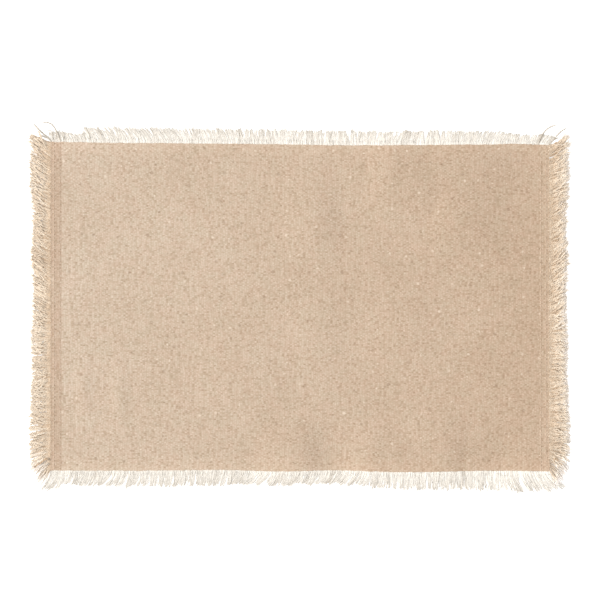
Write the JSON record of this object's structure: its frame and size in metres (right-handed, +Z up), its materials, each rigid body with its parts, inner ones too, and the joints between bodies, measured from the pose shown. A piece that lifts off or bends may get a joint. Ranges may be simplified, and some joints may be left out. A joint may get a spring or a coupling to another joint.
{
  "type": "fabric placemat",
  "caption": "Rectangular woven cotton table mat lying flat, with tufted yarn fringes on its short sides and thin thread fringes on its long sides.",
  "frame": {"origin": "the middle of the mat's footprint, on the surface that it lies on", "axes": "+X runs along the long sides, +Y towards the back long side, +Z up from the table"},
  "size_m": [0.4527, 0.3104, 0.003],
  "materials": {
    "woven_cloth": "matt rep weave in undyed beige cotton",
    "plied_yarn": "soft plied ecru cotton yarn",
    "single_thread": "thin cream cotton thread"
  },
  "bodies": {
    "root": {"cloth": "woven_cloth", "fringe_left": "plied_yarn", "fringe_right": "plied_yarn", "fringe_back": "single_thread", "fringe_front": "single_thread"}
  },
  "joints": []
}
